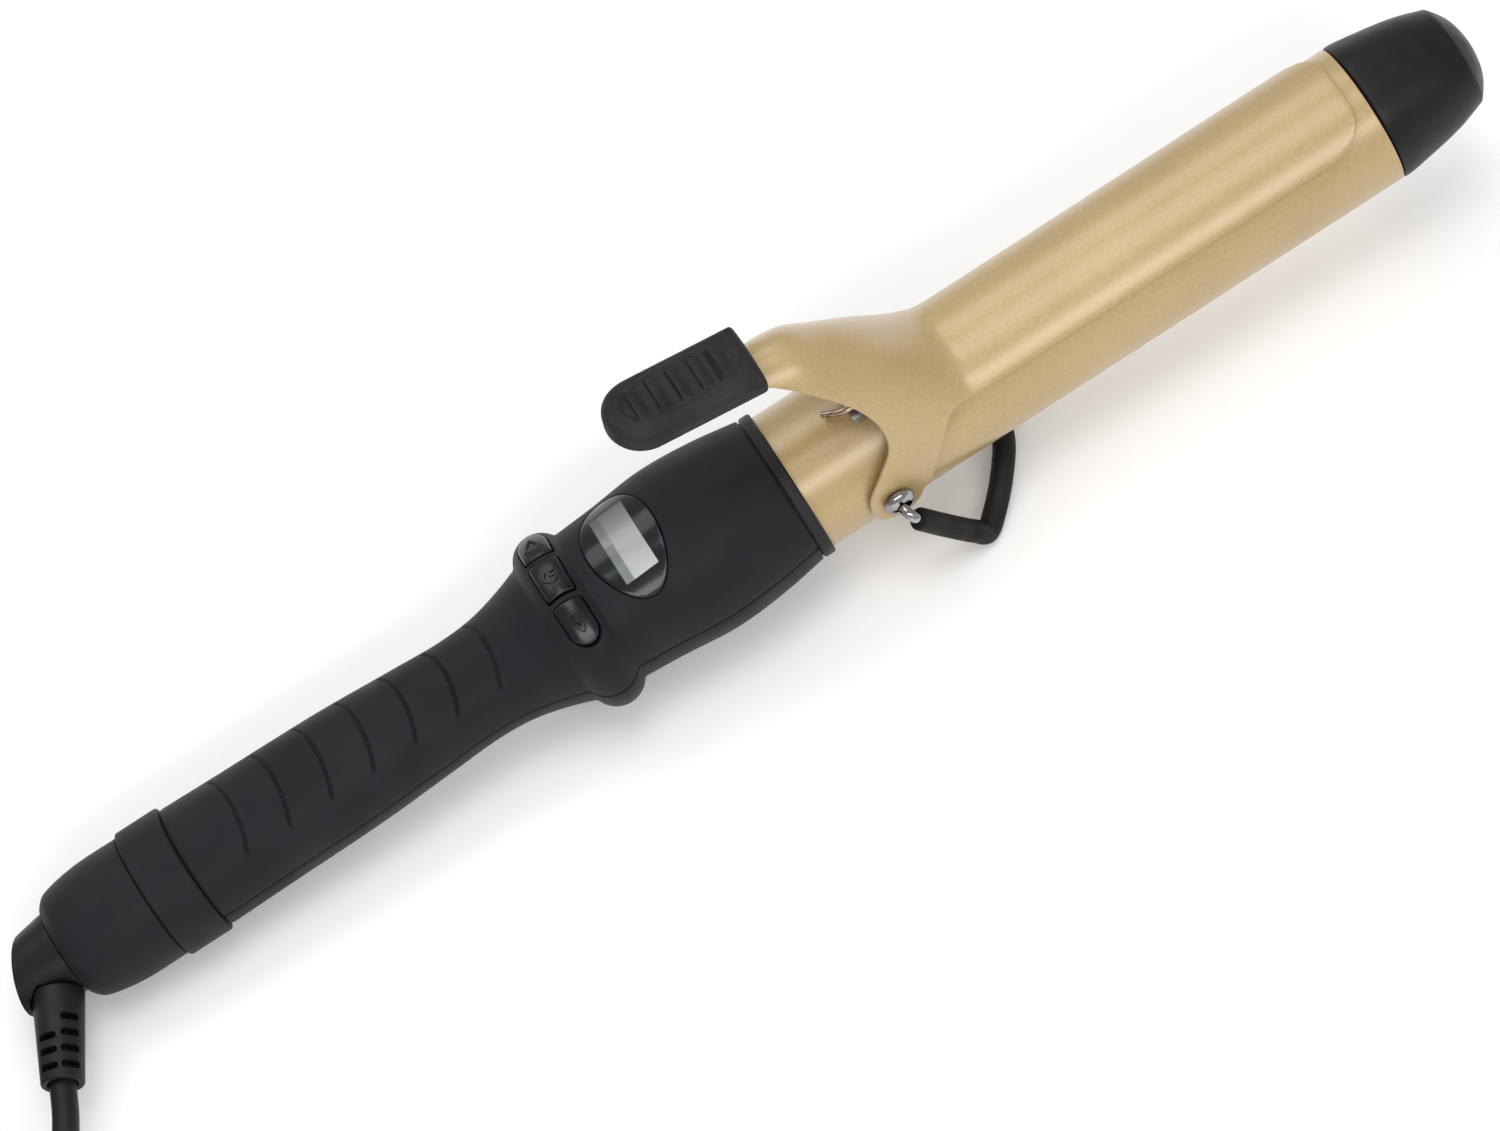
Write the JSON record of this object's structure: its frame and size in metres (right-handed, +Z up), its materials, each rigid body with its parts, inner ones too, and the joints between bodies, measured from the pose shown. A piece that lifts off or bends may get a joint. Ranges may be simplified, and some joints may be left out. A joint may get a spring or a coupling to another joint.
{
  "type": "curling iron",
  "caption": "Hand-held curling iron with a heated round barrel, a sprung hinged clamp, a moulded handle with buttons and display, a folding wire stand and a swivelling mains cord.",
  "frame": {"origin": "bottom centre of the iron's box as it rests on its stand and tail band, without the cord", "axes": "+X along the iron towards its tip, +Z up from the table with the clamp on top, +Y to the far side"},
  "size_m": [0.4769, 0.094, 0.0812],
  "materials": {
    "soft_touch": "matte soft-touch paint",
    "gloss_black": "gloss",
    "satin_black": "satin",
    "rubber": "matte",
    "gold_paint": "satin champagne paint",
    "chrome": "polished",
    "steel": "satin",
    "copper": "satin",
    "brass": "satin",
    "aluminium": "extruded",
    "ceramic": "matte ceramic",
    "phenolic": "matte",
    "board": "satin",
    "component": "matte",
    "film": "satin",
    "display": "gloss",
    "lead": "matte",
    "cord": "satin"
  },
  "bodies": {
    "handle": {"housing_top": "soft_touch", "housing_bottom": "soft_touch", "case_screw_1": "steel", "case_screw_2": "steel", "case_screw_3": "steel", "front_collar": "satin_black", "switch_down": "component", "switch_power": "component", "switch_up": "component", "display_lens": "gloss_black", "display_module": "display", "circuit_board": "board", "triac": "component", "film_capacitor": "film", "lead_live": "lead", "lead_neutral": "lead", "barrel": "gold_paint", "barrel_holder": "phenolic", "tip_cap": "satin_black", "tip_spacer": "ceramic", "heater_plate": "ceramic", "heat_spreader_top": "aluminium", "heat_spreader_bottom": "aluminium", "thermistor": "ceramic", "thermal_fuse": "steel", "heater_lead_near": "lead", "heater_lead_far": "lead", "sensor_lead": "lead", "pivot_screw_near": "chrome", "pivot_nut_near": "steel", "pivot_screw_far": "chrome", "pivot_nut_far": "steel", "spring_bracket": "steel", "clamp_spring": "copper", "tail_band": "soft_touch", "tail_cap": "soft_touch", "swivel_socket": "phenolic", "contact_leaf_live": "brass", "contact_leaf_neutral": "brass", "cord_lead": "cord", "cord_coil": "cord", "cord_tie": "rubber", "cord_tail": "cord", "plug_body": "cord", "plug_blade_neutral": "brass", "plug_blade_live": "brass"},
    "clamp": {"clamp_plate": "gold_paint", "thumb_rest": "rubber"},
    "stand": {"stand_wire": "chrome", "stand_sleeve": "rubber"},
    "swivel": {"swivel_elbow": "satin_black", "strain_relief": "cord", "swivel_ring": "brass", "swivel_pin": "brass"},
    "button_up": {"button_up": "gloss_black"},
    "button_power": {"button_power": "gloss_black"},
    "button_down": {"button_down": "gloss_black"}
  },
  "joints": [
    {"name": "clamp_pivot", "type": "hinge", "parent": "handle", "child": "clamp", "pos_m": [0.0294, 0, 0.02474], "axis": [0, -1, 0], "range_deg": [0, 30], "stiffness_Nm_per_rad": 0.6, "springref_deg": -28.65, "deforming": ["clamp_spring"]},
    {"name": "stand_pivot", "type": "hinge", "parent": "handle", "child": "stand", "pos_m": [0.0294, 0, 0.02474], "axis": [0, 1, 0], "range_deg": [0, 100]},
    {"name": "cord_swivel", "type": "hinge", "parent": "handle", "child": "swivel", "pos_m": [-0.16748, 0, 0.01357], "axis": [-0.9984, 0, -0.0566], "continuous": true},
    {"name": "button_up_press", "type": "slide", "parent": "handle", "child": "button_up", "axis": [0.0566, 0, -0.9984], "range_m": [0, 0.0008], "stiffness_N_per_m": 1500, "springref_m": -0.0008},
    {"name": "button_power_press", "type": "slide", "parent": "handle", "child": "button_power", "axis": [0.0566, 0, -0.9984], "range_m": [0, 0.0008], "stiffness_N_per_m": 1500, "springref_m": -0.0008},
    {"name": "button_down_press", "type": "slide", "parent": "handle", "child": "button_down", "axis": [0.0566, 0, -0.9984], "range_m": [0, 0.0008], "stiffness_N_per_m": 1500, "springref_m": -0.0008}
  ]
}
